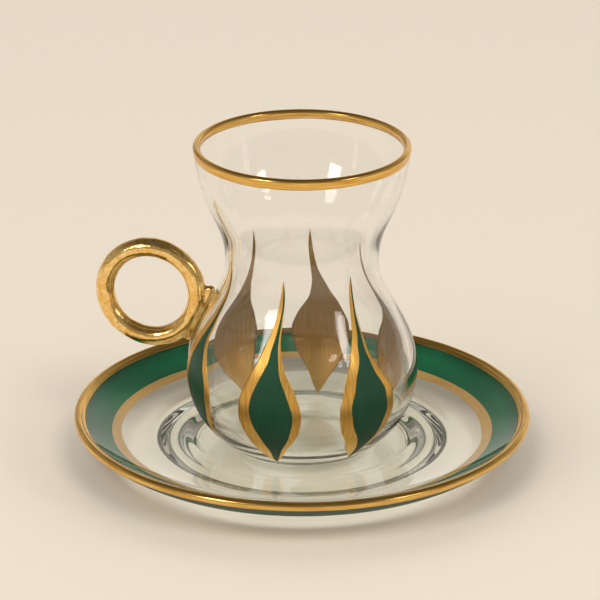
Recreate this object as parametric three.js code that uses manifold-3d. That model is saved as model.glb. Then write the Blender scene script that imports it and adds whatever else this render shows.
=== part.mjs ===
// Waisted tea glass with a gilded ring handle, standing on its glass saucer.
// Millimetres, +Z up. The origin lies on the table under the middle of the saucer,
// and the ring handle points along -X.

import * as THREE from 'three';
import { mergeVertices } from 'three/addons/utils/BufferGeometryUtils.js';
import Module from 'manifold-3d';

// Saucer: a round dish with a rolled lip, a stepped well and a foot ring below.
const SAUCER_LIP_CIRCLE = 58.9;
const SAUCER_LIP_RADIUS = 1.1;
const SAUCER_LIP_Z = 13.0;
const WELL_FLOOR_Z = 5.7;
const WELL_RADIUS = 25.5;
const WELL_STEP_RADIUS = 31.0;
const WELL_STEP_Z = 7.6;
const FLANGE_RIM_SLOPE = 0.51;
const FLANGE_UNDER_SLOPE = 0.7;
const FLANGE_RIM_REACH = 8.0;
const FLANGE_WELL_REACH = 12.0;
const FLANGE_UNDER_RIM_REACH = 6.7;
const FLANGE_UNDER_ROOT_REACH = 10.0;
const LIP_START = -Math.PI / 4;
const LIP_END = 0.85 * Math.PI;
const FOOT_RING_ROOT = 38.0;
const FOOT_RING_ROOT_Z = 4.6;
const FOOT_RING_OUTER = 36.8;
const FOOT_RING_OUTER_Z = 2.2;
const FOOT_RING_FLAT_OUTER = 35.4;
const FOOT_RING_FLAT_INNER = 32.4;
const FOOT_RING_INNER = 30.6;
const FOOT_RECESS_Z = 2.2;

// Glass: heights are measured up from the sole of its foot.
const REST_GAP = 0.3;
const SOLE_Z = WELL_FLOOR_Z + REST_GAP;
const SOLE_RADIUS = 17.6;
const PUSH_UP_RADIUS = 13.0;
const PUSH_UP_DEPTH = 0.4;
const HEEL_ROUND = 4.5;
const HEEL_SWEEP = Math.PI / 4;
const BELLY_RADIUS = 30.3;
const BELLY_HEIGHT = 20.1;
const WAIST_RADIUS = 20.0;
const WAIST_HEIGHT = 50.8;
const RIM_RADIUS = 27.95;
const RIM_HEIGHT = 81.1;
const RIM_FLARE = 0.08;
const LIP_RADIUS = 0.82;
const BELLY_WALL = 2.0;
const WAIST_WALL = 1.9;
const FLOOR_WALL = 2.4;

// How far each stretch of the wall keeps the direction of its end.
const HEEL_REACH = 3.0;
const BELLY_REACH_DOWN = 11.4;
const BELLY_REACH_UP = 13.5;
const WAIST_REACH_DOWN = 11.6;
const WAIST_REACH_UP = 10.9;
const RIM_REACH = 16.7;
const INNER_BELLY_REACH_DOWN = 10.9;

// Handle: a round ring and the saddle that bonds it to the belly.
const RING_CENTRE_X = -40.7;
const RING_CENTRE_Z = 43.65;
const RING_CIRCLE = 12.5;
const RING_TUBE = 2.5;
const SADDLE_RADIUS = 2.2;
const SADDLE_LOW = new THREE.Vector3(-30.4, 0, 32.6);
const SADDLE_HIGH = new THREE.Vector3(-24.5, 0, 45.0);
const BOND_GAP = 0.3;

// Facets
const ROUND_STEPS = 56;
const WALL_STEPS = 7;
const LIP_STEPS = 6;
const HEEL_STEPS = 4;
const PUSH_UP_STEPS = 3;
const RING_STEPS = 40;
const TUBE_STEPS = 12;
const SADDLE_CAP_STEPS = 4;

const CLEAR_GLASS = { color: 0xf3f5f0, roughness: 0.04, metalness: 0.0, transparent: true, opacity: 0.35 };
const GOLD_LEAF = { color: 0xd9a441, roughness: 0.28, metalness: 1.0 };

const wasm = await Module();
wasm.setup();

// Turns an outline of radius and height about the upright axis.
function turned(outline) {
  const geometry = new THREE.LatheGeometry(outline, ROUND_STEPS);
  geometry.rotateX(Math.PI / 2);
  return geometry;
}

function addBezier(points, start, startControl, endControl, end, steps) {
  const curve = new THREE.CubicBezierCurve(start, startControl, endControl, end);
  points.push(...curve.getPoints(steps).slice(1));
}

function addArc(points, centre, radius, startAngle, endAngle, steps) {
  for (let i = 1; i <= steps; i += 1) {
    const angle = THREE.MathUtils.lerp(startAngle, endAngle, i / steps);
    const spoke = new THREE.Vector2(Math.cos(angle), Math.sin(angle));
    points.push(centre.clone().addScaledVector(spoke, radius));
  }
}

function at(radius, z) {
  return new THREE.Vector2(radius, z);
}

// Outer wall from the edge of the sole, round the heel, over the belly, in to the waist and out to the rim.
function outerWall() {
  const points = [at(SOLE_RADIUS, SOLE_Z)];
  const heelCentre = at(SOLE_RADIUS, SOLE_Z + HEEL_ROUND);
  addArc(points, heelCentre, HEEL_ROUND, -Math.PI / 2, HEEL_SWEEP - Math.PI / 2, HEEL_STEPS);
  const heel = points.at(-1);
  const belly = at(BELLY_RADIUS, SOLE_Z + BELLY_HEIGHT);
  const waist = at(WAIST_RADIUS, SOLE_Z + WAIST_HEIGHT);
  const rim = at(RIM_RADIUS, SOLE_Z + RIM_HEIGHT);
  const heelControl = at(
    heel.x + HEEL_REACH * Math.cos(HEEL_SWEEP),
    heel.y + HEEL_REACH * Math.sin(HEEL_SWEEP),
  );
  const rimControl = at(
    rim.x - RIM_REACH * Math.sin(RIM_FLARE),
    rim.y - RIM_REACH * Math.cos(RIM_FLARE),
  );
  addBezier(points, heel, heelControl, at(belly.x, belly.y - BELLY_REACH_DOWN), belly, WALL_STEPS);
  const aboveBelly = at(belly.x, belly.y + BELLY_REACH_UP);
  const belowWaist = at(waist.x, waist.y - WAIST_REACH_DOWN);
  addBezier(points, belly, aboveBelly, belowWaist, waist, WALL_STEPS);
  addBezier(points, waist, at(waist.x, waist.y + WAIST_REACH_UP), rimControl, rim, WALL_STEPS);
  return points;
}

// Inner wall from the lip down to the middle of the flat floor.
function innerWall() {
  const rim = at(RIM_RADIUS - 2 * LIP_RADIUS, SOLE_Z + RIM_HEIGHT);
  const waist = at(WAIST_RADIUS - WAIST_WALL, SOLE_Z + WAIST_HEIGHT);
  const belly = at(BELLY_RADIUS - BELLY_WALL, SOLE_Z + BELLY_HEIGHT);
  const heelCentre = at(SOLE_RADIUS, SOLE_Z + HEEL_ROUND);
  const heelRadius = HEEL_ROUND - FLOOR_WALL;
  const heel = at(
    heelCentre.x + heelRadius * Math.sin(HEEL_SWEEP),
    heelCentre.y - heelRadius * Math.cos(HEEL_SWEEP),
  );
  const heelControl = at(
    heel.x + HEEL_REACH * Math.cos(HEEL_SWEEP),
    heel.y + HEEL_REACH * Math.sin(HEEL_SWEEP),
  );
  const rimControl = at(
    rim.x - RIM_REACH * Math.sin(RIM_FLARE),
    rim.y - RIM_REACH * Math.cos(RIM_FLARE),
  );
  const points = [];
  addBezier(points, rim, rimControl, at(waist.x, waist.y + WAIST_REACH_UP), waist, WALL_STEPS);
  const belowWaist = at(waist.x, waist.y - WAIST_REACH_DOWN);
  const aboveBelly = at(belly.x, belly.y + BELLY_REACH_UP);
  addBezier(points, waist, belowWaist, aboveBelly, belly, WALL_STEPS);
  const belowBelly = at(belly.x, belly.y - INNER_BELLY_REACH_DOWN);
  addBezier(points, belly, belowBelly, heelControl, heel, WALL_STEPS);
  addArc(points, heelCentre, heelRadius, HEEL_SWEEP - Math.PI / 2, -Math.PI / 2, HEEL_STEPS);
  points.push(at(0, SOLE_Z + FLOOR_WALL));
  return points;
}

// Underside of the glass, a shallow dome that leaves a flat ring to stand on.
function pushUp() {
  const points = [];
  for (let i = 0; i <= PUSH_UP_STEPS; i += 1) {
    const share = i / PUSH_UP_STEPS;
    points.push(at(PUSH_UP_RADIUS * share, SOLE_Z + PUSH_UP_DEPTH * (1 - share * share)));
  }
  return points;
}

function teaGlass() {
  const outline = [...pushUp(), ...outerWall()];
  const lipCentre = at(RIM_RADIUS - LIP_RADIUS, SOLE_Z + RIM_HEIGHT);
  addArc(outline, lipCentre, LIP_RADIUS, 0, Math.PI, LIP_STEPS);
  outline.push(...innerWall());
  return turned(outline);
}

// Underside of the saucer: the recess, the foot ring and the flange up to the lip.
function saucerUnderside() {
  const points = [
    at(0, FOOT_RECESS_Z),
    at(FOOT_RING_INNER, FOOT_RECESS_Z),
    at(FOOT_RING_FLAT_INNER, 0),
    at(FOOT_RING_FLAT_OUTER, 0),
    at(FOOT_RING_OUTER, FOOT_RING_OUTER_Z),
    at(FOOT_RING_ROOT, FOOT_RING_ROOT_Z),
  ];
  const root = points.at(-1);
  const lip = at(
    SAUCER_LIP_CIRCLE + SAUCER_LIP_RADIUS * Math.cos(LIP_START),
    SAUCER_LIP_Z + SAUCER_LIP_RADIUS * Math.sin(LIP_START),
  );
  const lipControl = at(
    lip.x - FLANGE_UNDER_RIM_REACH * Math.cos(FLANGE_UNDER_SLOPE),
    lip.y - FLANGE_UNDER_RIM_REACH * Math.sin(FLANGE_UNDER_SLOPE),
  );
  addBezier(points, root, at(root.x + FLANGE_UNDER_ROOT_REACH, root.y), lipControl, lip, WALL_STEPS);
  return points;
}

// Upper face of the saucer: the flange down from the lip, the step and the flat well.
function saucerTop(lip) {
  const points = [];
  const step = at(WELL_STEP_RADIUS, WELL_STEP_Z);
  const well = at(WELL_RADIUS, WELL_FLOOR_Z);
  const lipControl = at(
    lip.x - FLANGE_RIM_REACH * Math.cos(FLANGE_RIM_SLOPE),
    lip.y - FLANGE_RIM_REACH * Math.sin(FLANGE_RIM_SLOPE),
  );
  addBezier(points, lip, lipControl, at(step.x + FLANGE_WELL_REACH, step.y), step, WALL_STEPS);
  const middle = (step.x + well.x) / 2;
  addBezier(points, step, at(middle, step.y), at(middle, well.y), well, LIP_STEPS);
  points.push(at(0, WELL_FLOOR_Z));
  return points;
}

function saucer() {
  const outline = saucerUnderside();
  addArc(outline, at(SAUCER_LIP_CIRCLE, SAUCER_LIP_Z), SAUCER_LIP_RADIUS, LIP_START, LIP_END, LIP_STEPS);
  outline.push(...saucerTop(outline.at(-1)));
  return turned(outline);
}

// The same solid with its vertices shared, ready to be joined or cut.
function solid(geometry) {
  const bare = geometry.clone();
  bare.deleteAttribute('normal');
  bare.deleteAttribute('uv');
  const merged = mergeVertices(bare);
  return new wasm.Manifold(new wasm.Mesh({
    numProp: 3,
    vertProperties: new Float32Array(merged.attributes.position.array),
    triVerts: new Uint32Array(merged.index.array),
  }));
}

function fromSolid(body) {
  const mesh = body.getMesh();
  const geometry = new THREE.BufferGeometry();
  geometry.setAttribute('position', new THREE.BufferAttribute(mesh.vertProperties, mesh.numProp));
  geometry.setIndex(new THREE.BufferAttribute(mesh.triVerts, 1));
  geometry.computeVertexNormals();
  return geometry;
}

// A sleeve that stands a bond's thickness proud of the belly, from inside the wall outwards.
function bellySleeve() {
  const wall = outerWall();
  const outer = wall.map((point) => at(point.x + BOND_GAP, point.y));
  const core = SOLE_RADIUS / 2;
  return turned([at(core, wall[0].y), ...outer, at(core, wall.at(-1).y), at(core, wall[0].y)]);
}

function ringHandle() {
  const ring = new THREE.TorusGeometry(RING_CIRCLE, RING_TUBE, TUBE_STEPS, RING_STEPS);
  ring.rotateX(Math.PI / 2);
  ring.translate(RING_CENTRE_X, 0, RING_CENTRE_Z);
  const along = new THREE.Vector3().subVectors(SADDLE_HIGH, SADDLE_LOW);
  const saddle = new THREE.CapsuleGeometry(SADDLE_RADIUS, along.length(), SADDLE_CAP_STEPS, TUBE_STEPS);
  const middle = new THREE.Vector3().addVectors(SADDLE_HIGH, SADDLE_LOW).multiplyScalar(0.5);
  const tilt = new THREE.Quaternion().setFromUnitVectors(new THREE.Vector3(0, 1, 0), along.normalize());
  saddle.applyQuaternion(tilt);
  saddle.translate(middle.x, middle.y, middle.z);
  return fromSolid(solid(ring).add(solid(saddle)).subtract(solid(bellySleeve())));
}

function piece(name, geometry, finish) {
  const mesh = new THREE.Mesh(geometry, new THREE.MeshStandardMaterial(finish));
  mesh.name = name;
  return mesh;
}

const group = new THREE.Group();
group.add(piece('saucer', saucer(), CLEAR_GLASS));
group.add(piece('tea_glass', teaGlass(), CLEAR_GLASS));
group.add(piece('ring_handle', ringHandle(), GOLD_LEAF));

export default group;
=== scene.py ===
"""Waisted tea glass with a gilded ring handle and painted leaves, on its painted glass saucer."""

import math

import bmesh
import bpy
import numpy as np
from bpy.props import FloatProperty, FloatVectorProperty, IntProperty, PointerProperty
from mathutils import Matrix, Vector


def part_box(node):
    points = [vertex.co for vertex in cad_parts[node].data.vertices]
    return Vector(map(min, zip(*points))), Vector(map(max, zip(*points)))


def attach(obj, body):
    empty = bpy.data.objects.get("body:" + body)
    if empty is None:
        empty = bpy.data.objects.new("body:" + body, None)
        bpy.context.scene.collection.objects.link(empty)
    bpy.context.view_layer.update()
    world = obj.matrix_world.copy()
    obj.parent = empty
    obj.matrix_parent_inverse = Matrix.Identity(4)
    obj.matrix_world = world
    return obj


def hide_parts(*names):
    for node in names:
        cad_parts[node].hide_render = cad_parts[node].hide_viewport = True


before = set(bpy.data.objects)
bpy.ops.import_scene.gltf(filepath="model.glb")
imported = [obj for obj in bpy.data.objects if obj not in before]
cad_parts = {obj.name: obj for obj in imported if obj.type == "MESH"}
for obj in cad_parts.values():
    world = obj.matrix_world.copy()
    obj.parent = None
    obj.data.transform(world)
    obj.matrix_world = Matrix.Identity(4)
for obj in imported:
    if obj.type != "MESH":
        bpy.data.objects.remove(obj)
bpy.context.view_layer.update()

bl_info = {
    "name": "Painted Tea Glass",
    "version": (1, 0, 0),
    "blender": (4, 5, 0),
    "location": "View3D > Sidebar > Tea Glass",
    "description": "Dresses a waisted tea glass, its handle and its saucer in glass, gilding and enamel",
    "category": "Object",
}

MM = 0.001
BODY = "root"
GLASS_LOW, GLASS_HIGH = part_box("tea_glass")
RING_LOW, RING_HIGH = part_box("ring_handle")
RING_OUTER = (RING_HIGH.z - RING_LOW.z) / 2
RING_TUBE = (RING_HIGH.y - RING_LOW.y) / 2

# How far each stretch of a wall keeps the direction of its end.
HEEL_REACH = 3.0 * MM
BELLY_REACH_DOWN = 11.4 * MM
BELLY_REACH_UP = 13.5 * MM
WAIST_REACH_DOWN = 11.6 * MM
WAIST_REACH_UP = 10.9 * MM
RIM_REACH = 16.7 * MM
INNER_BELLY_REACH_DOWN = 10.9 * MM
FLANGE_RIM_REACH = 8.0 * MM
FLANGE_WELL_REACH = 12.0 * MM
FLANGE_UNDER_RIM_REACH = 6.7 * MM
FLANGE_UNDER_ROOT_REACH = 10.0 * MM

# Directions along the walls, in radians.
HEEL_SWEEP = math.pi / 4
RIM_FLARE = 0.08
FLANGE_RIM_SLOPE = 0.51
FLANGE_UNDER_SLOPE = 0.7
SAUCER_LIP_START = -math.pi / 4
SAUCER_LIP_END = 0.85 * math.pi

# Mesh steps.
ROUND_STEPS = 256
WALL_STEPS = 50
LIP_STEPS = 18
HEEL_STEPS = 12
FLAT_STEPS = 10
CORNER_STEPS = 6
FILM_STEPS = 28
LEAF_ROWS = 150
LEAF_COLUMNS = 18
RING_STEPS = 220
TUBE_STEPS = 56

# Paint films sit partly in the wall and partly proud of it, so that no air shows behind them. Each pair is
# how far a film stands out of the wall and how far it reaches in. Seen through the glass, the film that
# reaches further in covers the other.
GOLD_FILM = (0.05 * MM, 0.05 * MM)
GREEN_OVER_GOLD = (0.09 * MM, 0.02 * MM)
GREEN_UNDER_GOLD = (0.03 * MM, 0.02 * MM)
MERGE = 0.001 * MM

# How far the painter's line wavers at each edge of a band.
LIP_WAVER = 0.07 * MM
SAUCER_LIP_WAVER = (0.06 * MM, 0.08 * MM)
GREEN_BAND_WAVER = 0.02 * MM
GOLD_BAND_WAVER = (0.25 * MM, 0.1 * MM)
WAVER_TURNS = np.array([2, 3, 5, 8, 13])

# A painted leaf from foot to tip, in millimetres: height above the table, half the width of the gold, its
# border left and right of the green, and how far the centre line sways for a lean of one millimetre.
LEAF_FORM = (
    (8.0, 0.02, 0.01, 0.01, -0.60),
    (9.2, 1.05, 0.75, 0.40, -0.62),
    (12.8, 3.43, 3.05, 0.95, -0.70),
    (16.2, 5.70, 3.55, 1.55, -0.45),
    (19.2, 7.35, 3.65, 2.05, -0.30),
    (22.2, 8.30, 3.45, 2.30, -0.25),
    (25.1, 8.50, 3.25, 2.45, -0.27),
    (27.9, 8.05, 3.20, 2.50, -0.32),
    (30.8, 7.00, 3.10, 2.50, -0.50),
    (33.4, 5.66, 3.05, 2.10, -0.75),
    (36.0, 4.25, 3.05, 1.50, -0.93),
    (38.6, 3.05, 2.75, 1.00, -0.85),
    (40.9, 2.30, 2.20, 0.75, -0.55),
    (43.5, 1.55, 1.60, 0.50, -0.10),
    (45.8, 1.15, 1.25, 0.32, 0.25),
    (48.1, 0.87, 1.05, 0.20, 0.52),
    (50.6, 0.72, 0.95, 0.08, 0.75),
    (53.1, 0.56, 0.70, 0.05, 0.92),
    (55.1, 0.40, 0.50, 0.04, 0.98),
    (57.5, 0.02, 0.01, 0.01, 1.00),
)
LEAVES_A_SIDE = 3
LEAST_LEAN = 0.2

# Waver of a leaf's edges: waves in radians a millimetre, their depth in millimetres, the half width from
# which it is full, and the narrowest that the green gets.
LEAF_WAVES = np.array([0.21, 0.43, 0.9])
LEAF_WAVER = 0.07
LEAF_WAVER_WIDTH = 3
LEAST_GREEN = 0.02

# Dents of the gilded ring: waves from long to short, with their depth as a share of their length.
DENT_SEED = 3
DENT_WAVES = 24
DENT_LONG = 16 * MM
DENT_SHORT = 1.4 * MM
DENT_DEPTH = 0.0018
SOFTEN_SHARE = 0.5
SOFTEN_ROUNDS = 8

# Painted shading on the leaves' gold: how far up the wall from the sole it is fully lightened, and where the
# lightening has faded out.
PAINTED_LIGHT_FULL = 5 * MM
PAINTED_LIGHT_GONE = 27 * MM

# Walls of the room: how far the wall behind the camera and the side walls are lit beside the one behind the
# set, and the parts of the view, as shares of Y or Z, over which one gives way to the next.
FRONT_WALL = 0.3
SIDE_WALLS = 0.4
FRONT_TO_SIDES = (-0.8, 0.0)
SIDES_TO_BACK = (0.7, 0.97)
CEILING_TO_WALLS = (0.75, 0.35)

# Studio lamps: name, azimuth from the front and elevation in degrees, width and height in metres, watts, and
# whether glass and gold mirror them. The ones that they don't mirror stand for light off the walls.
LAMP_REACH = 5.0
LAMPS = (
    ("softbox_left", -30, 27, 1.25, 1.4, 34, True),
    ("softbox_right", 67, 27, 0.8, 1.15, 19, True),
    ("fill_left", -11, 48, 2.0, 1.4, 80, False),
    ("fill_right", 37, 48, 2.0, 1.4, 80, False),
    ("wall_left", -62, 30, 4.0, 3.0, 42, False),
    ("wall_right", 88, 30, 4.0, 3.0, 42, False),
    ("wall_back", 193, 60, 4.0, 4.0, 36, False),
)
SENSOR_WIDTH = 36.0
GLASS_BOUNCES = 24
CLEAR_BOUNCES = 32


def linear(hex_colour):
    """An sRGB hex colour as linear red, green, blue and alpha."""
    values = [int(hex_colour[i:i + 2], 16) / 255 for i in (1, 3, 5)]
    return [v / 12.92 if v <= 0.04045 else ((v + 0.055) / 1.055) ** 2.4 for v in values] + [1.0]


def length(label, note, size):
    """A length that the user can change, in metres."""
    return FloatProperty(name=label, description=note, default=size, unit="LENGTH", precision=5)


def angle(label, note, degrees):
    """An angle that the user can change, stored in radians."""
    return FloatProperty(name=label, description=note, default=math.radians(degrees), subtype="ANGLE")


def colour(label, note, hex_colour):
    """A colour that the user can change, given as sRGB hex and stored linear."""
    return FloatVectorProperty(
        name=label, description=note, default=linear(hex_colour), size=4, min=0, max=1, subtype="COLOR")


class GlassSizes(bpy.types.PropertyGroup):
    sole_z: length("Sole height", "Height of the glass's sole above the table", GLASS_LOW.z)
    sole_radius: length("Sole radius", "Where the flat sole turns up into the heel", 17.6 * MM)
    push_up_radius: length("Push-up radius", "Radius of the dome under the sole", 13.0 * MM)
    push_up_depth: length("Push-up depth", "Height of the dome under the sole", 0.4 * MM)
    heel_round: length("Heel rounding", "Radius of the heel between sole and belly", 4.5 * MM)
    belly_radius: length("Belly radius", "Widest radius of the belly", GLASS_HIGH.x)
    belly_height: length("Belly height", "Height of the widest place above the sole", 20.1 * MM)
    waist_radius: length("Waist radius", "Narrowest radius of the waist", 20.0 * MM)
    waist_height: length("Waist height", "Height of the narrowest place above the sole", 50.8 * MM)
    rim_radius: length("Rim radius", "Outer radius of the lip", 27.95 * MM)
    lip_radius: length("Lip rounding", "Half the thickness of the rounded lip", 0.82 * MM)
    top_z: length("Top", "Height of the lip's top above the table", GLASS_HIGH.z)
    belly_wall: length("Belly wall", "Thickness of the belly's wall", 2.0 * MM)
    waist_wall: length("Waist wall", "Thickness of the waist's wall", 1.9 * MM)
    floor_wall: length("Floor", "Thickness of the floor between sole and inside", 2.4 * MM)


class SaucerSizes(bpy.types.PropertyGroup):
    lip_circle: length("Lip circle", "Radius of the middle of the rolled lip", 58.9 * MM)
    lip_radius: length("Lip rounding", "Radius of the rolled lip", 1.1 * MM)
    lip_z: length("Lip height", "Height of the middle of the rolled lip", 13.0 * MM)
    well_floor_z: length("Well floor", "Height of the flat well", 5.7 * MM)
    well_radius: length("Well radius", "Radius of the flat well", 25.5 * MM)
    step_radius: length("Step radius", "Radius of the step above the well", 31.0 * MM)
    step_z: length("Step height", "Height of the step above the well", 7.6 * MM)
    foot_root: length("Foot ring root", "Radius where the foot ring meets the flange", 38.0 * MM)
    foot_root_z: length("Foot ring root height", "Height where the foot ring meets the flange", 4.6 * MM)
    foot_outer: length("Foot ring outside", "Outer radius of the foot ring", 36.8 * MM)
    foot_outer_z: length("Foot ring outside height", "Height of the foot ring's widest place", 2.2 * MM)
    foot_flat_outer: length("Foot flat outside", "Outer radius of the ring that stands", 35.4 * MM)
    foot_flat_inner: length("Foot flat inside", "Inner radius of the ring that stands", 32.4 * MM)
    foot_inner: length("Foot ring inside", "Inner radius of the foot ring", 30.6 * MM)
    recess_z: length("Recess height", "Height of the underside inside the foot ring", 2.2 * MM)
    foot_round: length("Foot rounding", "How far before its corners the foot ring begins to round", 1.2 * MM)


class HandleSizes(bpy.types.PropertyGroup):
    centre_x: length("Ring centre", "Place of the ring's centre along X", RING_LOW.x + RING_OUTER)
    centre_z: length("Ring height", "Height of the ring's centre", (RING_LOW.z + RING_HIGH.z) / 2)
    circle: length("Ring circle", "Radius of the ring's centre line", RING_OUTER - RING_TUBE)
    tube: length("Ring tube", "Radius of the ring's tube", RING_TUBE)
    saddle_low: length("Saddle low radius", "Radius of the saddle at its low end", 1.7 * MM)
    saddle_high: length("Saddle high radius", "Radius of the saddle at its high end", 1.2 * MM)
    weld_x: length("Weld", "Place of the weld between ring and saddle along X", -25.7 * MM)
    weld_z: length("Weld height", "Height of the weld between ring and saddle", 45.4 * MM)
    weld: length("Weld radius", "Radius of the weld between ring and saddle", 1.2 * MM)
    saddle_low_x: length("Saddle low end", "Place of the saddle's low end along X", -30.4 * MM)
    saddle_low_z: length("Saddle low height", "Height of the saddle's low end", 32.6 * MM)
    saddle_high_x: length("Saddle high end", "Place of the saddle's high end along X", -24.5 * MM)
    saddle_high_z: length("Saddle high height", "Height of the saddle's high end", 45.6 * MM)
    voxel: length("Fusing step", "Grain at which ring and saddle are fused", 0.24 * MM)


class PaintSizes(bpy.types.PropertyGroup):
    leaf_first: angle("First leaf", "Angle of the first leaf from the handle", 35.5)
    leaf_step: angle("Leaf step", "Angle between neighbouring leaves", 51.4)
    leaf_tip_z: length("Leaf tip", "Height of a leaf's upper tip", 57.5 * MM)
    leaf_tip_slip: length("Tip slip", "How far the painter misses the height of a tip", 1.5 * MM)
    leaf_lean: length("Leaf lean", "How far a leaf's tip leans at most", 1.4 * MM)
    lip_outside: length("Lip gilding outside", "How far the gilding runs down the outside", 2.15 * MM)
    lip_inside: length("Lip gilding inside", "How far the gilding runs down the inside", 0.9 * MM)
    lip_bead: length("Lip bead", "How far the gilded lip swells beyond the wall", 0.12 * MM)
    saucer_lip_top: length("Saucer gilding", "Radius where the lip's gilding ends on top", 57.0 * MM)
    saucer_lip_under: length("Saucer gilding below", "Radius where the lip's gilding ends below", 59.4 * MM)
    green_band: length("Green band", "Inner radius of the saucer's green band", 51.0 * MM)
    gold_band: length("Gold band", "Inner radius of the saucer's gold band", 48.2 * MM)
    overlap: length("Overlap", "How far the green runs under the edge of the gold", 0.4 * MM)
    seed: IntProperty(name="Hand", description="Seed of the painter's small slips", default=7)


class Finishes(bpy.types.PropertyGroup):
    glass: colour("Glass", "Tint of the clear glass", "#FFFFFF")
    glass_face: colour("Glass face", "What each face of the glass lets through of a lamp's light", "#FDFEFD")
    glass_depth: colour("Glass depth", "What thick glass lets through", "#DDE6D0")
    # Near a leaf's foot the gold is painted towards its bright strokes, as shading.
    gold_light: colour("Gold strokes", "Bright strokes of the gold paint", "#F8CD76")
    gold_dark: colour("Gold hollows", "Thin strokes of the gold paint", "#CC9239")
    gold_back: colour("Gold from behind", "Gold paint seen through the glass", "#EAB65B")
    gold_back_dark: colour("Gold from behind, thin", "Thin strokes seen through the glass", "#9A733C")
    gold_under: colour("Gold under the saucer", "Gold band seen through the saucer", "#F4C67E")
    gold_under_dark: colour("Gold under the saucer, thin", "Thin strokes of that band", "#E0AC62")
    green: colour("Enamel", "Green enamel", "#1B4932")
    green_dark: colour("Enamel pools", "Thicker pools of the enamel", "#143927")
    green_under: colour("Enamel under the saucer", "Green band seen through the saucer", "#14704A")
    green_under_dark: colour("Enamel pools under the saucer", "Thicker pools of that band", "#0A4A30")
    leaf: colour("Gold leaf", "Burnished gold leaf on the handle", "#FFDF98")
    leaf_deep: colour("Deep leaf", "Gold leaf where its sheets lie double", "#F3BC62")
    # Painted reflection: dark specks on the gold leaf that stand for the dark room mirrored in its crumples.
    leaf_dark_reflection: colour("Dark reflections in leaf", "Dark reflections painted into the leaf's crumples", "#5A3C18")
    floor: colour("Floor", "Pale seamless floor", "#ECE3D7")
    light: colour("Light", "Colour of the softboxes", "#FFFBF4")
    room: colour("Room", "Tone of the ceiling above the set", "#625E57")
    backdrop: colour("Backdrop", "Tone of the lit wall behind the set", "#F0E9DE")


class StageSizes(bpy.types.PropertyGroup):
    azimuth: angle("Camera azimuth", "Camera's angle round the glass", 13.0)
    distance: length("Camera distance", "Camera's distance from the axis", 880.2 * MM)
    height: length("Camera height", "Camera's height above the table", 397.1 * MM)
    pitch: angle("Camera pitch", "How far the camera looks down", 21.811)
    heading: angle("Camera heading", "How far the camera looks to the left of the axis", 0.034)
    lens: FloatProperty(name="Lens", description="Focal length", default=218.2, unit="CAMERA")
    floor_half: length("Floor", "Half the width of the floor", 2.5)


class TeaSet(bpy.types.PropertyGroup):
    glass: PointerProperty(type=GlassSizes, name="Glass", description="Sizes of the glass")
    saucer: PointerProperty(type=SaucerSizes, name="Saucer", description="Sizes of the saucer")
    handle: PointerProperty(type=HandleSizes, name="Handle", description="Sizes of the ring handle")
    paint: PointerProperty(type=PaintSizes, name="Paint", description="Sizes of the painted decoration")
    finish: PointerProperty(type=Finishes, name="Finishes", description="Colours of the finishes")
    stage: PointerProperty(type=StageSizes, name="Stage", description="Camera, floor and light")


def bezier(start, start_control, end_control, end, steps):
    """Cubic curve: the four points weighted by the cubic Bernstein polynomials, at even parameters."""
    t = np.linspace(0, 1, steps + 1)[:, None]
    points = [np.asarray(p, float) for p in (start, start_control, end_control, end)]
    return ((1 - t) ** 3 * points[0] + 3 * (1 - t) ** 2 * t * points[1]
            + 3 * (1 - t) * t ** 2 * points[2] + t ** 3 * points[3])


def arc(centre, radius, start, end, steps):
    """Circular arc: the centre plus a spoke that turns evenly from start to end."""
    turn = np.linspace(start, end, steps + 1)
    return np.asarray(centre) + radius * np.stack([np.cos(turn), np.sin(turn)], axis=1)


def unit(turn):
    """Unit vector that points outwards, turned up by an angle."""
    return np.array([math.cos(turn), math.sin(turn)])


def straight(start, end, steps):
    """Straight stretch: a share of the way from start to end at even steps."""
    t = np.linspace(0, 1, steps + 1)[:, None]
    return (1 - t) * np.asarray(start) + t * np.asarray(end)


def chain(*stretches):
    """Joins stretches of outline end to end, dropping each doubled point."""
    return np.concatenate([stretches[0]] + [s[1:] for s in stretches[1:]])


def glass_outer(g):
    """Outside of the glass: a heel arc, then cubic curves from heel to belly, to waist and to rim."""
    heel = arc((g.sole_radius, g.sole_z + g.heel_round), g.heel_round, -math.pi / 2,
               HEEL_SWEEP - math.pi / 2, HEEL_STEPS)
    belly = (g.belly_radius, g.sole_z + g.belly_height)
    waist = (g.waist_radius, g.sole_z + g.waist_height)
    rim = (g.rim_radius, g.top_z - g.lip_radius)
    heel_control = heel[-1] + HEEL_REACH * unit(HEEL_SWEEP)
    rim_control = np.array(rim) - RIM_REACH * unit(math.pi / 2 - RIM_FLARE)
    return chain(
        heel,
        bezier(heel[-1], heel_control, (belly[0], belly[1] - BELLY_REACH_DOWN), belly, WALL_STEPS),
        bezier(belly, (belly[0], belly[1] + BELLY_REACH_UP), (waist[0], waist[1] - WAIST_REACH_DOWN), waist,
               WALL_STEPS),
        bezier(waist, (waist[0], waist[1] + WAIST_REACH_UP), rim_control, rim, WALL_STEPS))


def glass_lip(g):
    """Rounded lip: half a circle from the outer wall over to the inner wall."""
    return arc((g.rim_radius - g.lip_radius, g.top_z - g.lip_radius), g.lip_radius, 0, math.pi, LIP_STEPS)


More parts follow.
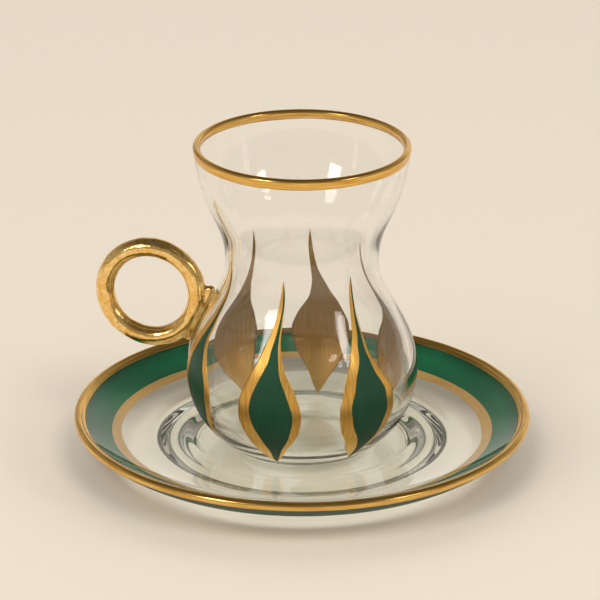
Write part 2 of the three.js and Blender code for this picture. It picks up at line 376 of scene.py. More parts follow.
def glass_inner(g):
    """Inside of the glass: the outer curves set in by the wall, down to the flat floor inside the heel."""
    rim = (g.rim_radius - 2 * g.lip_radius, g.top_z - g.lip_radius)
    waist = (g.waist_radius - g.waist_wall, g.sole_z + g.waist_height)
    belly = (g.belly_radius - g.belly_wall, g.sole_z + g.belly_height)
    heel = arc((g.sole_radius, g.sole_z + g.heel_round), g.heel_round - g.floor_wall,
               HEEL_SWEEP - math.pi / 2, -math.pi / 2, HEEL_STEPS)
    heel_control = heel[0] + HEEL_REACH * unit(HEEL_SWEEP)
    rim_control = np.array(rim) - RIM_REACH * unit(math.pi / 2 - RIM_FLARE)
    return chain(
        bezier(rim, rim_control, (waist[0], waist[1] + WAIST_REACH_UP), waist, WALL_STEPS),
        bezier(waist, (waist[0], waist[1] - WAIST_REACH_DOWN), (belly[0], belly[1] + BELLY_REACH_UP), belly,
               WALL_STEPS),
        bezier(belly, (belly[0], belly[1] - INNER_BELLY_REACH_DOWN), heel_control, heel[0], WALL_STEPS),
        heel,
        straight(heel[-1], (0.0, heel[-1][1]), FLAT_STEPS))


def glass_under(g):
    """Underside of the glass: a parabolic dome, then the flat ring that stands."""
    share = np.linspace(0, 1, FLAT_STEPS + 1)
    dome = np.stack([g.push_up_radius * share, g.sole_z + g.push_up_depth * (1 - share ** 2)], axis=1)
    return chain(dome, straight(dome[-1], (g.sole_radius, g.sole_z), CORNER_STEPS))


def rounded(corners, reach):
    """Straight stretches between corners, each corner bridged by a cubic curve from reach before it on."""
    corners = np.asarray(corners, float)
    ways = np.diff(corners, axis=0)
    ways /= np.linalg.norm(ways, axis=1, keepdims=True)
    stretches = []
    start = corners[0]
    for corner, way_in, way_out in zip(corners[1:], ways, ways[1:]):
        into = corner - reach * way_in
        stretches.append(straight(start, into, CORNER_STEPS))
        start = corner + reach * way_out
        stretches.append(bezier(into, (into + 2 * corner) / 3, (start + 2 * corner) / 3, start, HEEL_STEPS))
    return chain(*stretches, straight(start, corners[-1], CORNER_STEPS))


def saucer_under(s):
    """Underside of the saucer: recess, rounded foot ring, and a cubic curve out to the lip."""
    root = (s.foot_root + s.foot_round, s.foot_root_z)
    corners = [(0.0, s.recess_z), (s.foot_inner, s.recess_z), (s.foot_flat_inner, 0.0),
               (s.foot_flat_outer, 0.0), (s.foot_outer, s.foot_outer_z), (s.foot_root, s.foot_root_z),
               (root[0] + MERGE, root[1])]
    foot = rounded(corners, s.foot_round)
    lip = saucer_lip(s)[0]
    control = lip - FLANGE_UNDER_RIM_REACH * unit(FLANGE_UNDER_SLOPE)
    flange = bezier(foot[-1], (root[0] + FLANGE_UNDER_ROOT_REACH, root[1]), control, lip, WALL_STEPS)
    return chain(foot, flange)


def saucer_lip(s):
    """Rolled lip of the saucer: an arc from its underside over to the flange."""
    return arc((s.lip_circle, s.lip_z), s.lip_radius, SAUCER_LIP_START, SAUCER_LIP_END, LIP_STEPS)


def saucer_top(s):
    """Upper face of the saucer: cubic flange, an S-shaped step, and the flat well."""
    lip = saucer_lip(s)[-1]
    step = (s.step_radius, s.step_z)
    well = (s.well_radius, s.well_floor_z)
    middle = (step[0] + well[0]) / 2
    control = lip - FLANGE_RIM_REACH * unit(FLANGE_RIM_SLOPE)
    return chain(
        bezier(lip, control, (step[0] + FLANGE_WELL_REACH, step[1]), step, WALL_STEPS),
        bezier(step, (middle, step[1]), (middle, well[1]), well, LIP_STEPS),
        straight(well, (0.0, well[1]), FLAT_STEPS))


def along(outline):
    """Distance along an outline from its start, and the outward normal at each of its points."""
    distance = np.concatenate([[0.0], np.cumsum(np.hypot(*np.diff(outline, axis=0).T))])
    tangent = np.gradient(outline, distance, axis=0)
    tangent /= np.linalg.norm(tangent, axis=1, keepdims=True)
    return distance, np.stack([tangent[:, 1], -tangent[:, 0]], axis=1)


def spun(radius, z, turn):
    """Points at a radius and height, turned from the front (-Y) towards +X."""
    return np.stack([radius * np.sin(turn), -radius * np.cos(turn), z + 0 * turn], axis=-1)


def surface(name, points, closed_rows, closed_columns, stroke, materials, inner=None):
    """A mesh of quads between neighbouring points of a grid, wrapped where asked.

    stroke gives each grid point's place across and along the brush stroke in metres, kept as the UV map.
    The faces named by inner take the second material: the side of a film that faces into the glass.
    """
    rows, columns = points.shape[:2]
    index = np.arange(rows * columns).reshape(rows, columns)
    index = np.concatenate([index, index[:, :1]], axis=1) if closed_columns else index
    index = np.concatenate([index, index[:1]], axis=0) if closed_rows else index
    corners = [(slice(None, -1), slice(None, -1)), (slice(None, -1), slice(1, None)),
               (slice(1, None), slice(1, None)), (slice(1, None), slice(None, -1))]
    quads = np.stack([index[c] for c in corners], axis=-1).reshape(-1, 4)
    mesh = bpy.data.meshes.new(name)
    mesh.from_pydata(points.reshape(-1, 3).tolist(), [], quads.tolist())
    places = [np.stack([stroke[0][c], stroke[1][c]], axis=-1) for c in corners]
    uv = mesh.uv_layers.new(name="stroke")
    uv.data.foreach_set("uv", np.stack(places, axis=2).reshape(-1).astype(np.float32))
    for material in materials:
        mesh.materials.append(material)
    if inner is not None:
        side = np.zeros((index.shape[0] - 1, index.shape[1] - 1), np.int32)
        side[inner] = 1
        mesh.polygons.foreach_set("material_index", side.reshape(-1))
    piece = bpy.data.objects.new(name, mesh)
    bpy.context.scene.collection.objects.link(piece)
    seal(mesh)
    return piece


def seal(mesh):
    """Merges doubled points at poles and tips, turns every face outwards and shades the mesh smooth."""
    work = bmesh.new()
    work.from_mesh(mesh)
    bmesh.ops.remove_doubles(work, verts=work.verts, dist=MERGE)
    bmesh.ops.recalc_face_normals(work, faces=work.faces)
    work.to_mesh(mesh)
    work.free()
    mesh.shade_smooth()


def turned_piece(name, outline, materials):
    """A solid of revolution: the outline's radius and height, turned evenly about the upright axis."""
    turn = np.linspace(0, 2 * math.pi, ROUND_STEPS, endpoint=False)
    points = spun(outline[:, :1], outline[:, 1:], turn[None, :])
    distance, _ = along(outline)
    girth = np.linspace(0, 2 * math.pi * outline[:, 0].max(), ROUND_STEPS + 1)
    return surface(name, points, False, True, np.meshgrid(distance, girth, indexing="ij"), materials)


def film_ring(name, outline, start, end, lift, materials, random, bead=0.0):
    """A paint film round the whole piece.

    Its section follows the outline from start to end, two distances along it, each with a slow hand-made
    waver, once outside the wall and back again inside it. A bead swells the outside as half a sine wave.
    """
    turn = np.linspace(0, 2 * math.pi, ROUND_STEPS, endpoint=False)
    distance, normal = along(outline)
    share = np.linspace(0, 1, FILM_STEPS + 1)[:, None]
    low = start[0] + waver(turn, start[1], random)
    high = end[0] + waver(turn, end[1], random)
    place = low[None, :] + share * (high - low)[None, :]
    there = np.concatenate([place, place[::-1]])
    swell = lift[0] + bead * np.sin(math.pi * share)
    rise = np.concatenate([swell + 0 * place, np.full_like(place, -lift[1])])
    radius = np.interp(there, distance, outline[:, 0]) + rise * np.interp(there, distance, normal[:, 0])
    z = np.interp(there, distance, outline[:, 1]) + rise * np.interp(there, distance, normal[:, 1])
    girth = np.linspace(0, 2 * math.pi * radius.max(), ROUND_STEPS + 1)
    rows = np.concatenate([there.mean(axis=1), there.mean(axis=1)[:1]])
    stroke = np.meshgrid(rows, girth, indexing="ij")
    inner = slice(FILM_STEPS + 1, 2 * FILM_STEPS + 1)
    return surface(name, spun(radius, z, turn[None, :]), True, True, stroke, materials, inner)


def waver(turn, size, random):
    """A slow waver round a circle: a few sine waves of whole numbers of turns, each with its own phase."""
    phase = random.uniform(0, 2 * math.pi, len(WAVER_TURNS))
    waves = np.sin(WAVER_TURNS[:, None] * turn + phase[:, None]) / np.sqrt(WAVER_TURNS)[:, None]
    return size * waves.sum(axis=0)


def through(x, stations, values):
    """A smooth curve through stations: cubic Hermite pieces whose slopes are the central differences."""
    slopes = np.gradient(values, stations)
    i = np.clip(np.searchsorted(stations, x) - 1, 0, len(stations) - 2)
    gap = stations[i + 1] - stations[i]
    t = np.clip((x - stations[i]) / gap, 0, 1)
    return ((1 + 2 * t) * (1 - t) ** 2 * values[i] + t * (1 - t) ** 2 * gap * slopes[i]
            + t ** 2 * (3 - 2 * t) * values[i + 1] + t ** 2 * (t - 1) * gap * slopes[i + 1])


def leaf_edges(z, tip, lean, random):
    """The four edges of a painted leaf at heights z, as arc lengths from the leaf's own upright line.

    Half the width, both gold borders and the sway of the centre line are smooth curves through the
    stations of LEAF_FORM, stretched so that the upper tip comes to its own height. The painter's hand adds
    a slow waver of a fraction of a millimetre.
    """
    form = np.array(LEAF_FORM)
    place = form[0, 0] + (z / MM - form[0, 0]) * (form[-1, 0] - form[0, 0]) / (tip / MM - form[0, 0])
    half, left, right, sway = (through(place, form[:, 0], form[:, column]) for column in range(1, 5))
    phase = random.uniform(0, 2 * math.pi, (4, 3))
    waves = np.sin(place[None, None, :] * LEAF_WAVES[None, :, None] + phase[:, :, None]).sum(axis=1)
    share = np.clip(half / LEAF_WAVER_WIDTH, 0, 1)
    middle = lean * sway + LEAF_WAVER * share * waves[0]
    gold = [middle - half, middle + half]
    green_left = gold[0] + left + LEAF_WAVER * share * waves[2]
    green_right = gold[1] - right + LEAF_WAVER * share * waves[3]
    green = [green_left, np.maximum(green_right, green_left + LEAST_GREEN)]
    return np.array(gold) * MM, np.array(green) * MM


def leaf_piece(name, wall, z, centre, edges, lift, materials):
    """A leaf of paint on the outside of the glass.

    Rows run from the lower to the upper tip. Each row is a loop that crosses the leaf between its two edges
    outside the wall and comes back inside it.
    """
    distance, normal = along(wall)
    radius = np.interp(z, wall[:, 1], wall[:, 0])
    normal_r = np.interp(z, wall[:, 1], normal[:, 0])
    normal_z = np.interp(z, wall[:, 1], normal[:, 1])
    share = np.linspace(0, 1, LEAF_COLUMNS + 1)
    loop = np.concatenate([share, share[::-1]])
    height = np.concatenate([np.full(LEAF_COLUMNS + 1, lift[0]), np.full(LEAF_COLUMNS + 1, -lift[1])])
    across = edges[0][:, None] + loop[None, :] * (edges[1] - edges[0])[:, None]
    turn = centre + across / radius[:, None]
    points = spun(radius[:, None] + height * normal_r[:, None],
                  z[:, None] + height * normal_z[:, None], turn)
    across = np.concatenate([across, across[:, :1]], axis=1)
    rows = np.interp(z, wall[:, 1], distance)[:, None] + 0 * across
    inner = (slice(None), slice(LEAF_COLUMNS + 1, None))
    return surface(name, points, False, True, (across, rows), materials, inner)


def per(size):
    """Scale of a pattern whose features are this many millimetres wide, on coordinates in metres."""
    return 1 / (size * MM)


def add_node(tree, kind, settings=(), values=(), links=()):
    """Adds one shader node, sets its options and sockets, and links sources to its sockets."""
    node = tree.nodes.new(kind)
    for key, value in dict(settings).items():
        setattr(node, key, value)
    for socket, value in dict(values).items():
        node.inputs[socket].default_value = value
    for socket, source in dict(links).items():
        tree.links.new(source, node.inputs[socket])
    return node


def blank_material(name):
    """An empty node material with its output."""
    material = bpy.data.materials.new(name)
    material.use_nodes = True
    material.node_tree.nodes.clear()
    output = material.node_tree.nodes.new("ShaderNodeOutputMaterial")
    return material, material.node_tree, output


def pressed_glass(finish):
    """Soda-lime glass, pressed and fire polished: clear, faintly rippled, a breath of green where thick.

    Lamp and bounce light goes straight through it, dimmed at each face, so that what stands behind is lit.
    """
    material, tree, output = blank_material("soda_lime_glass_fire_polished")
    place = add_node(tree, "ShaderNodeTexCoord")
    ripple = add_node(tree, "ShaderNodeTexNoise", values={"Scale": per(11), "Detail": 1.0},
                      links={"Vector": place.outputs["Object"]})
    bump = add_node(tree, "ShaderNodeBump", values={"Strength": 0.25, "Distance": 0.03 * MM},
                    links={"Height": ripple.outputs["Fac"]})
    clear = add_node(tree, "ShaderNodeBsdfPrincipled",
                     values={"Base Color": finish.glass, "Roughness": 0.0, "IOR": 1.52,
                             "Transmission Weight": 1.0},
                     links={"Normal": bump.outputs["Normal"]})
    passing = add_node(tree, "ShaderNodeBsdfTransparent", values={"Color": finish.glass_face})
    ray = add_node(tree, "ShaderNodeLightPath")
    lamp = add_node(tree, "ShaderNodeMath", {"operation": "MAXIMUM"},
                    links={0: ray.outputs["Is Shadow Ray"], 1: ray.outputs["Is Diffuse Ray"]})
    mix = add_node(tree, "ShaderNodeMixShader",
                   links={0: lamp.outputs[0], 1: clear.outputs[0], 2: passing.outputs[0]})
    depth = add_node(tree, "ShaderNodeVolumeAbsorption",
                     values={"Color": finish.glass_depth, "Density": 22.0})
    tree.links.new(mix.outputs[0], output.inputs["Surface"])
    tree.links.new(depth.outputs[0], output.inputs["Volume"])
    return material


def gold_paint(name, bright, thin, metallic, roughness, relief, foot=0.0):
    """Gold lustre, brushed on and fired: fine strokes along the line of the brush, thin and bright in turn.

    foot says how much painted shading lightens the gold towards the foot of a leaf and leaves it darker
    higher up.
    """
    material, tree, output = blank_material(name)
    stroke = add_node(tree, "ShaderNodeUVMap", {"uv_map": "stroke"})
    stretch = add_node(tree, "ShaderNodeMapping", links={"Vector": stroke.outputs["UV"]},
                       values={"Scale": (per(0.32), per(11), 1)})
    hair = add_node(tree, "ShaderNodeTexNoise", values={"Scale": 1.0, "Detail": 4.0, "Roughness": 0.6},
                    links={"Vector": stretch.outputs["Vector"]})
    streak = add_node(tree, "ShaderNodeMapRange", values={"From Min": 0.3, "From Max": 0.65},
                      links={"Value": hair.outputs["Fac"]})
    # Painted shading: the gold is blended towards its bright tone near a leaf's foot.
    run = add_node(tree, "ShaderNodeSeparateXYZ", links={"Vector": stroke.outputs["UV"]})
    full = add_node(tree, "ShaderNodeMapRange", {"interpolation_type": "SMOOTHSTEP"},
                    {"From Min": PAINTED_LIGHT_GONE, "From Max": PAINTED_LIGHT_FULL}, {"Value": run.outputs["Y"]})
    tone = add_node(tree, "ShaderNodeMix", {"data_type": "FLOAT"}, {0: foot},
                    {2: streak.outputs["Result"], 3: full.outputs["Result"]})
    paint = add_node(tree, "ShaderNodeMix", {"data_type": "RGBA"}, {6: thin, 7: bright},
                     {"Factor": tone.outputs[0]})
    rough = add_node(tree, "ShaderNodeMapRange",
                     values={"From Min": 0.3, "From Max": 0.7, "To Min": roughness + 0.08,
                             "To Max": roughness - 0.05},
                     links={"Value": hair.outputs["Fac"]})
    bump = add_node(tree, "ShaderNodeBump", values={"Strength": relief, "Distance": 0.02 * MM},
                    links={"Height": hair.outputs["Fac"]})
    gold = add_node(tree, "ShaderNodeBsdfPrincipled", values={"Metallic": metallic},
                    links={"Base Color": paint.outputs[2], "Roughness": rough.outputs["Result"],
                           "Normal": bump.outputs["Normal"]})
    tree.links.new(gold.outputs[0], output.inputs["Surface"])
    return material


def green_enamel(name, light, pooled, across, run):
    """Green glass enamel, brushed on and fired: deep, with a satin gloss, a little darker where it pooled.

    The pools are as wide and as long, in millimetres, as across and run say.
    """
    material, tree, output = blank_material(name)
    stroke = add_node(tree, "ShaderNodeUVMap", {"uv_map": "stroke"})
    stretch = add_node(tree, "ShaderNodeMapping", links={"Vector": stroke.outputs["UV"]},
                       values={"Scale": (per(across), per(run), 1)})
    flow = add_node(tree, "ShaderNodeTexNoise", values={"Scale": 1.0, "Detail": 3.0},
                    links={"Vector": stretch.outputs["Vector"]})
    pool = add_node(tree, "ShaderNodeMix", {"data_type": "RGBA"}, {6: pooled, 7: light},
                    {"Factor": flow.outputs["Fac"]})
    bump = add_node(tree, "ShaderNodeBump", values={"Strength": 0.15, "Distance": 0.02 * MM},
                    links={"Height": flow.outputs["Fac"]})
    enamel = add_node(tree, "ShaderNodeBsdfPrincipled",
                      values={"Roughness": 0.45, "IOR": 1.5, "Specular IOR Level": 0.25},
                      links={"Base Color": pool.outputs[2], "Normal": bump.outputs["Normal"]})
    tree.links.new(enamel.outputs[0], output.inputs["Surface"])
    return material


def gold_leaf(finish):
    """Burnished gold leaf laid over a ring: wrinkled foil, with dark specks painted in as reflections of the
    dark room in its crumples.
    """
    material, tree, output = blank_material("gold_leaf_burnished")
    place = add_node(tree, "ShaderNodeTexCoord")
    wrinkle = add_node(tree, "ShaderNodeTexNoise",
                       values={"Scale": per(1.6), "Detail": 6.0, "Roughness": 0.7},
                       links={"Vector": place.outputs["Object"]})
    speck = add_node(tree, "ShaderNodeTexNoise",
                     values={"Scale": per(0.7), "Detail": 3.0, "Roughness": 0.7},
                     links={"Vector": place.outputs["Object"]})
    # Painted reflection: dark specks where the crumpled foil would mirror the dark room.
    dark_reflection_specks = add_node(tree, "ShaderNodeMapRange", values={"From Min": 0.61, "From Max": 0.71},
                      links={"Value": speck.outputs["Fac"]})
    double = add_node(tree, "ShaderNodeMapRange", values={"From Min": 0.4, "From Max": 0.62},
                      links={"Value": wrinkle.outputs["Fac"]})
    foil = add_node(tree, "ShaderNodeMix", {"data_type": "RGBA"}, {6: finish.leaf, 7: finish.leaf_deep},
                    {"Factor": double.outputs["Result"]})
    skin = add_node(tree, "ShaderNodeMix", {"data_type": "RGBA"}, {7: finish.leaf_dark_reflection},
                    {"Factor": dark_reflection_specks.outputs["Result"], 6: foil.outputs[2]})
    rough = add_node(tree, "ShaderNodeMapRange",
                     values={"From Min": 0.3, "From Max": 0.75, "To Min": 0.09, "To Max": 0.24},
                     links={"Value": speck.outputs["Fac"]})
    bump = add_node(tree, "ShaderNodeBump", values={"Strength": 0.48, "Distance": 0.1 * MM},
                    links={"Height": wrinkle.outputs["Fac"]})
    leaf = add_node(tree, "ShaderNodeBsdfPrincipled", values={"Metallic": 1.0},
                    links={"Base Color": skin.outputs[2], "Roughness": rough.outputs["Result"],
                           "Normal": bump.outputs["Normal"]})
    tree.links.new(leaf.outputs[0], output.inputs["Surface"])
    return material


def seamless_paper(finish):
    """Seamless studio paper: matt, pale and warm, with a faint fibre."""
    material, tree, output = blank_material("seamless_paper_matt")
    place = add_node(tree, "ShaderNodeTexCoord")
    fibre = add_node(tree, "ShaderNodeTexNoise", values={"Scale": per(2.5), "Detail": 4.0},
                     links={"Vector": place.outputs["Object"]})
    bump = add_node(tree, "ShaderNodeBump", values={"Strength": 0.05, "Distance": 0.1 * MM},
                    links={"Height": fibre.outputs["Fac"]})
    paper = add_node(tree, "ShaderNodeBsdfPrincipled",
                     values={"Base Color": finish.floor, "Roughness": 0.9, "Specular IOR Level": 0.15},
                     links={"Normal": bump.outputs["Normal"]})
    tree.links.new(paper.outputs[0], output.inputs["Surface"])
    return material


MATERIALS = {}


def finish_of(finish, kind):
    """The material of that kind, made once.

    Gold is given its metallic share, roughness, relief and the share of painted shading that lightens it
    towards a leaf's foot.
    Enamel is given the width and length of its pools in millimetres.
    """
    light, dark = finish.gold_light, finish.gold_dark
    back, back_dark = finish.gold_back, finish.gold_back_dark
    under, under_dark = finish.gold_under, finish.gold_under_dark
    below, below_dark = finish.green_under, finish.green_under_dark
    makers = {
        "glass": lambda: pressed_glass(finish),
        # The leaf gold, and most of all its back seen through the glass, is painted lighter towards the foot
        # as shading.
        "gold": lambda: gold_paint("gold_lustre_brushed", light, dark, 0.9, 0.36, 0.35, 0.3),
        "gold_line": lambda: gold_paint("gold_lustre_banded", light, dark, 1.0, 0.2, 0.05),
        "gold_behind": lambda: gold_paint("gold_lustre_through_glass", back, back_dark, 0.8, 0.38, 0.1,
                                          0.65),
        "gold_under": lambda: gold_paint("gold_lustre_under_saucer", under, under_dark, 0.5, 0.5, 0.1),
        "green": lambda: green_enamel("green_enamel_fired", finish.green, finish.green_dark, 1.1, 14),
        "green_under": lambda: green_enamel("green_enamel_under_saucer", below, below_dark, 5, 24),
        "leaf": lambda: gold_leaf(finish),
        "paper": lambda: seamless_paper(finish),
    }
    if kind not in MATERIALS:
        MATERIALS[kind] = makers[kind]()
    return MATERIALS[kind]


def settle(piece, slot, *nodes):
    """Makes a piece ride on the body and hides the solids that it stands for. Its slot is not used."""
    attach(piece, BODY)
    if nodes:
        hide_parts(*nodes)


class TEASET_OT_glass(bpy.types.Operator):
    """Blows the waisted glass: one wall from the sole over the lip to the inner floor"""
    bl_idname = "teaset.glass"
    bl_label = "Make Glass"

    def execute(self, context):
        tea = context.scene.tea_set
        g = tea.glass
        outline = chain(glass_under(g), glass_outer(g), glass_lip(g), glass_inner(g))
        piece = turned_piece("glass_body", outline, [finish_of(tea.finish, "glass")])
        settle(piece, "clear_glass", "tea_glass")
        return {"FINISHED"}


class TEASET_OT_saucer(bpy.types.Operator):
    """Presses the saucer: foot ring, flange, rolled lip and stepped well"""
    bl_idname = "teaset.saucer"
    bl_label = "Make Saucer"

    def execute(self, context):
        tea = context.scene.tea_set
        s = tea.saucer
        outline = chain(saucer_under(s), saucer_lip(s), saucer_top(s))
        piece = turned_piece("saucer_body", outline, [finish_of(tea.finish, "glass")])
        settle(piece, "clear_glass", "saucer")
        return {"FINISHED"}


class TEASET_OT_handle(bpy.types.Operator):
    """Fuses the ring and its saddle, presses them to the belly and gilds them"""
    bl_idname = "teaset.handle"
    bl_label = "Make Ring Handle"

    def execute(self, context):
        tea = context.scene.tea_set
        piece = fused_handle(tea.handle, glass_outer(tea.glass), finish_of(tea.finish, "leaf"))
        settle(piece, "gold_leaf", "ring_handle")
        return {"FINISHED"}


class TEASET_OT_gilding(bpy.types.Operator):
    """Gilds the lip of the glass, outside, over the top and just inside"""
    bl_idname = "teaset.gilding"
    bl_label = "Gild Lip"

    def execute(self, context):
        tea = context.scene.tea_set
        random = np.random.default_rng(tea.paint.seed)
        outline = chain(glass_outer(tea.glass), glass_lip(tea.glass), glass_inner(tea.glass))
        distance, _ = along(outline)
        top = distance[outline[:, 1].argmax()]
        start = (top - tea.paint.lip_outside - tea.glass.lip_radius, LIP_WAVER)
        end = (top + tea.paint.lip_inside + tea.glass.lip_radius, LIP_WAVER)
        gold = [finish_of(tea.finish, "gold_line")] * 2
        piece = film_ring("glass_lip_gilding", outline, start, end, GOLD_FILM, gold, random,
                          tea.paint.lip_bead)
        settle(piece, "gold_lustre")
        return {"FINISHED"}


class TEASET_OT_leaves(bpy.types.Operator):
    """Paints the leaves on the belly: gold first, and green enamel inside its border"""
    bl_idname = "teaset.leaves"
    bl_label = "Paint Leaves"

    def execute(self, context):
        tea = context.scene.tea_set
        p = tea.paint
        wall = glass_outer(tea.glass)
        random = np.random.default_rng(p.seed)
        gold = [finish_of(tea.finish, "gold"), finish_of(tea.finish, "gold_behind")]
        green = [finish_of(tea.finish, "green")] * 2
        steps = [p.leaf_first + i * p.leaf_step for i in range(LEAVES_A_SIDE)]
        centres = [-math.pi / 2 + s for s in steps] + [-math.pi / 2 - s for s in steps]
        for number, centre in enumerate(centres, start=1):
            lean = random.uniform(LEAST_LEAN, 1) * p.leaf_lean / MM
            tip = p.leaf_tip_z + random.uniform(-1, 1) * p.leaf_tip_slip
            z = np.linspace(LEAF_FORM[0][0] * MM, tip, LEAF_ROWS + 1)
            gold_edges, green_edges = leaf_edges(z, tip, lean, random)
            outer = leaf_piece(f"leaf_gold_{number}", wall, z, centre, gold_edges, GOLD_FILM, gold)
            settle(outer, "gold_lustre")
            inner = leaf_piece(f"leaf_green_{number}", wall, z, centre, green_edges, GREEN_OVER_GOLD, green)
            settle(inner, "green_enamel")
        return {"FINISHED"}


class TEASET_OT_bands(bpy.types.Operator):
    """Paints the saucer from below, a gold and a green band, and gilds its lip"""
    bl_idname = "teaset.bands"
    bl_label = "Paint Saucer"

    def execute(self, context):
        tea = context.scene.tea_set
        p = tea.paint
        random = np.random.default_rng(p.seed + 1)
        under = chain(saucer_under(tea.saucer), saucer_lip(tea.saucer), saucer_top(tea.saucer))
        distance, _ = along(under)
        outermost = under[:, 0].argmax()
        below = slice(0, outermost + 1)
        above = slice(outermost, None)

        def out_to(radius):
            """Distance along the outline to a radius on the underside."""
            return float(np.interp(radius, under[below, 0], distance[below]))

        def over_to(radius):
            """Distance along the outline to a radius on the upper face."""
            return float(np.interp(-radius, -under[above, 0], distance[above]))

        gold = [finish_of(tea.finish, "gold_line"), finish_of(tea.finish, "gold_under")]
        green = [finish_of(tea.finish, "green"), finish_of(tea.finish, "green_under")]
        lip = film_ring("saucer_lip_gilding", under, (out_to(p.saucer_lip_under), SAUCER_LIP_WAVER[0]),
                        (over_to(p.saucer_lip_top), SAUCER_LIP_WAVER[1]), GOLD_FILM, gold, random)
        settle(lip, "gold_lustre")
        start = (out_to(p.green_band) - p.overlap, GREEN_BAND_WAVER)
        end = (out_to(p.saucer_lip_under) + p.overlap, GREEN_BAND_WAVER)
        green_band = film_ring("saucer_green_band", under, start, end, GREEN_UNDER_GOLD, green, random)
        settle(green_band, "green_enamel")
        gold_band = film_ring("saucer_gold_band", under, (out_to(p.gold_band), GOLD_BAND_WAVER[0]),
                              (out_to(p.green_band), GOLD_BAND_WAVER[1]), GOLD_FILM, gold, random)
        settle(gold_band, "gold_lustre")
        return {"FINISHED"}


def ring_points(h):
    """The ring: a tube of round section whose centre line is a circle in the XZ plane."""
    turn = np.linspace(0, 2 * math.pi, RING_STEPS, endpoint=False)[:, None]
    girth = np.linspace(0, 2 * math.pi, TUBE_STEPS, endpoint=False)[None, :]
    out = h.circle + h.tube * np.cos(girth)
    return np.stack([h.centre_x + out * np.cos(turn), h.tube * np.sin(girth) + 0 * turn,
                     h.centre_z + out * np.sin(turn)], axis=-1)


def bar_points(low, high, radii):
    """A tapered bar between two points, each end rounded by half a sphere of its own radius."""
    ahead = (high - low) / np.linalg.norm(high - low)
    side = np.array([0, 1, 0])
    off = np.cross(ahead, side)
    bend = np.linspace(-math.pi / 2, math.pi / 2, TUBE_STEPS)[:, None]
    girth = np.linspace(0, 2 * math.pi, TUBE_STEPS, endpoint=False)[None, :]
    base = np.where(bend < 0, 0.0, 1.0)[..., None]
    centre = low + base * (high - low)
    ring = np.cos(bend)[..., None] * (np.cos(girth)[..., None] * side + np.sin(girth)[..., None] * off)
    radius = radii[0] + base * (radii[1] - radii[0])
    return centre + radius * (np.sin(bend)[..., None] * ahead + ring)


def fused_handle(h, wall, material):
    """Ring and saddle joined, fused on a fine grain, dented by a slow wave field and pressed to the wall."""
    low = np.array([h.saddle_low_x, 0, h.saddle_low_z])
    high = np.array([h.saddle_high_x, 0, h.saddle_high_z])
    weld = np.array([h.weld_x, 0, h.weld_z])
    bare = np.zeros((2, RING_STEPS + 1, TUBE_STEPS + 1))
    plain = np.zeros((2, TUBE_STEPS, TUBE_STEPS + 1))
    saddle = bar_points(low, high, (h.saddle_low, h.saddle_high))
    join = bar_points(weld, high, (h.weld, h.saddle_high))
    parts = [
        surface("handle_ring", ring_points(h), True, True, bare, []),
        surface("handle_saddle", saddle, False, True, plain, []),
        surface("handle_weld", join, False, True, plain, []),
    ]
    work = bmesh.new()
    for part in parts:
        work.from_mesh(part.data)
    mesh = bpy.data.meshes.new("ring_handle_gilded")
    work.to_mesh(mesh)
    work.free()
    for part in parts:
        bpy.data.objects.remove(part)
    piece = bpy.data.objects.new("ring_handle_gilded", mesh)
    bpy.context.scene.collection.objects.link(piece)
    fuse = piece.modifiers.new("Fuse", "REMESH")
    fuse.mode = "VOXEL"
    fuse.voxel_size = h.voxel
    soften = piece.modifiers.new("Soften", "SMOOTH")
    soften.factor = SOFTEN_SHARE
    soften.iterations = SOFTEN_ROUNDS
    evaluated = piece.evaluated_get(bpy.context.evaluated_depsgraph_get())
    fused = bpy.data.meshes.new_from_object(evaluated)
    piece.modifiers.clear()
    piece.data = fused
    fused.name = "ring_handle_gilded"
    points = np.zeros(len(fused.vertices) * 3)
    fused.vertices.foreach_get("co", points)
    normals = np.zeros(len(fused.vertices) * 3)
    fused.vertices.foreach_get("normal", normals)
    points = points.reshape(-1, 3)
    points = press_to_wall(points + dents(points)[:, None] * normals.reshape(-1, 3), wall)
    fused.vertices.foreach_set("co", points.reshape(-1))
    fused.materials.clear()
    fused.materials.append(material)
    seal(fused)
    return piece


def dents(points):
    """Depth of the foil's dents: sine waves along random directions, each as deep as its length asks."""
    random = np.random.default_rng(DENT_SEED)
    ways = random.normal(size=(DENT_WAVES, 3))
    ways /= np.linalg.norm(ways, axis=1, keepdims=True)
    spans = np.geomspace(DENT_LONG, DENT_SHORT, DENT_WAVES)
    phase = random.uniform(0, 2 * math.pi, DENT_WAVES)
    waves = np.sin(points @ (ways * (2 * math.pi / spans)[:, None]).T + phase)
    return waves @ (spans * DENT_DEPTH)


def press_to_wall(points, wall):
    """Pushes points that lie inside the glass straight out from its axis, to just under its outer face."""
    radius = np.hypot(points[:, 0], points[:, 1])
    limit = np.interp(points[:, 2], wall[:, 1], wall[:, 0]) - GOLD_FILM[1]
    scale = np.maximum(radius, limit) / radius
    return points * np.stack([scale, scale, np.ones_like(scale)], axis=1)


def softbox(name, azimuth, elevation, width, height, power, mirrored, tint):
    """An area lamp on a sphere round the glass, facing it, and mirrored in gloss only where asked."""
    lamp = bpy.data.lights.new(name, "AREA")
    lamp.shape = "RECTANGLE"
    lamp.size = width
    lamp.size_y = height
    lamp.energy = power
    lamp.color = tint[:3]
    holder = bpy.data.objects.new(name, lamp)
    bpy.context.scene.collection.objects.link(holder)
    side = math.radians(azimuth)
    rise = math.radians(elevation)
    flat = LAMP_REACH * math.cos(rise)
    holder.location = (flat * math.sin(side), -flat * math.cos(side), LAMP_REACH * math.sin(rise))
    holder.rotation_euler = (math.pi / 2 - rise, 0, side)
    holder.visible_glossy = mirrored
    holder.visible_transmission = mirrored


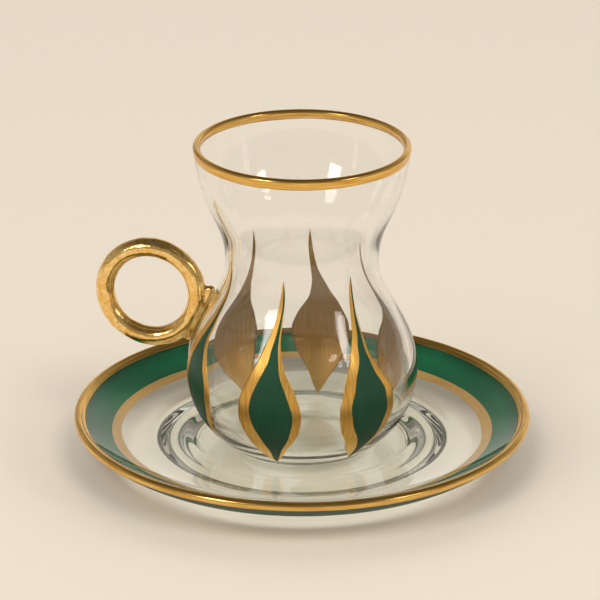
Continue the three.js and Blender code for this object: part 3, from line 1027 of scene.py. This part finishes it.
def studio_room(finish):
    """The room that glass and gold mirror: a grey ceiling over walls, with the lit one behind the set."""
    world = bpy.data.worlds.new("studio_room")
    world.use_nodes = True
    tree = world.node_tree
    view = add_node(tree, "ShaderNodeTexCoord")
    way = add_node(tree, "ShaderNodeSeparateXYZ", links={"Vector": view.outputs["Generated"]})
    smooth = {"interpolation_type": "SMOOTHSTEP"}
    front = add_node(tree, "ShaderNodeMapRange", smooth,
                     {"From Min": FRONT_TO_SIDES[0], "From Max": FRONT_TO_SIDES[1],
                      "To Min": FRONT_WALL, "To Max": SIDE_WALLS}, {"Value": way.outputs["Y"]})
    back = add_node(tree, "ShaderNodeMapRange", smooth,
                    {"From Min": SIDES_TO_BACK[0], "From Max": SIDES_TO_BACK[1]},
                    {"Value": way.outputs["Y"]})
    walls = add_node(tree, "ShaderNodeMath", {"operation": "MAXIMUM"},
                     links={0: front.outputs["Result"], 1: back.outputs["Result"]})
    low = add_node(tree, "ShaderNodeMapRange", smooth,
                   {"From Min": CEILING_TO_WALLS[0], "From Max": CEILING_TO_WALLS[1]},
                   {"Value": way.outputs["Z"]})
    lit = add_node(tree, "ShaderNodeMath", {"operation": "MULTIPLY"},
                   links={0: walls.outputs[0], 1: low.outputs["Result"]})
    tone = add_node(tree, "ShaderNodeMix", {"data_type": "RGBA"}, {6: finish.room, 7: finish.backdrop},
                    {"Factor": lit.outputs[0]})
    tree.links.new(tone.outputs[2], tree.nodes["Background"].inputs["Color"])
    return world


class TEASET_OT_stage(bpy.types.Operator):
    """Sets the pale floor, the softboxes, the room's light and the camera"""
    bl_idname = "teaset.stage"
    bl_label = "Set Stage"

    def execute(self, context):
        scene = context.scene
        stage = scene.tea_set.stage
        finish = scene.tea_set.finish
        side = np.linspace(-stage.floor_half, stage.floor_half, CORNER_STEPS)
        across, ahead = np.meshgrid(side, side)
        grid = np.stack([across, ahead, 0 * across], axis=-1)
        floor = surface("floor", grid, False, False, (across, ahead), [finish_of(finish, "paper")])
        for lamp in LAMPS:
            softbox(*lamp, finish.light)
        scene.world = studio_room(finish)
        lens = bpy.data.cameras.new("camera")
        lens.lens = stage.lens
        lens.sensor_width = SENSOR_WIDTH
        camera = bpy.data.objects.new("camera", lens)
        scene.collection.objects.link(camera)
        camera.location = (stage.distance * math.sin(stage.azimuth),
                           -stage.distance * math.cos(stage.azimuth), stage.height)
        camera.rotation_euler = (math.pi / 2 - stage.pitch, 0, stage.azimuth + stage.heading)
        scene.camera = camera
        scene.view_settings.view_transform = "Standard"
        scene.cycles.max_bounces = GLASS_BOUNCES
        scene.cycles.transmission_bounces = GLASS_BOUNCES
        scene.cycles.transparent_max_bounces = CLEAR_BOUNCES
        return {"FINISHED"}


class TEASET_PT_panel(bpy.types.Panel):
    """Lists the steps that make the tea glass, in order"""
    bl_idname = "TEASET_PT_panel"
    bl_label = "Tea Glass"
    bl_space_type = "VIEW_3D"
    bl_region_type = "UI"
    bl_category = "Tea Glass"

    def draw(self, context):
        for step in STEPS:
            self.layout.operator(step.bl_idname)


GROUPS = (GlassSizes, SaucerSizes, HandleSizes, PaintSizes, Finishes, StageSizes, TeaSet)
STEPS = (TEASET_OT_stage, TEASET_OT_saucer, TEASET_OT_bands, TEASET_OT_glass, TEASET_OT_gilding,
         TEASET_OT_leaves, TEASET_OT_handle)


def register():
    for kind in GROUPS + STEPS + (TEASET_PT_panel,):
        bpy.utils.register_class(kind)
    bpy.types.Scene.tea_set = PointerProperty(type=TeaSet)


def unregister():
    del bpy.types.Scene.tea_set
    for kind in reversed(GROUPS + STEPS + (TEASET_PT_panel,)):
        bpy.utils.unregister_class(kind)


def main():
    register()
    bpy.ops.teaset.stage()
    bpy.ops.teaset.saucer()
    bpy.ops.teaset.bands()
    bpy.ops.teaset.glass()
    bpy.ops.teaset.gilding()
    bpy.ops.teaset.leaves()
    bpy.ops.teaset.handle()


if __name__ == "__main__":
    main()
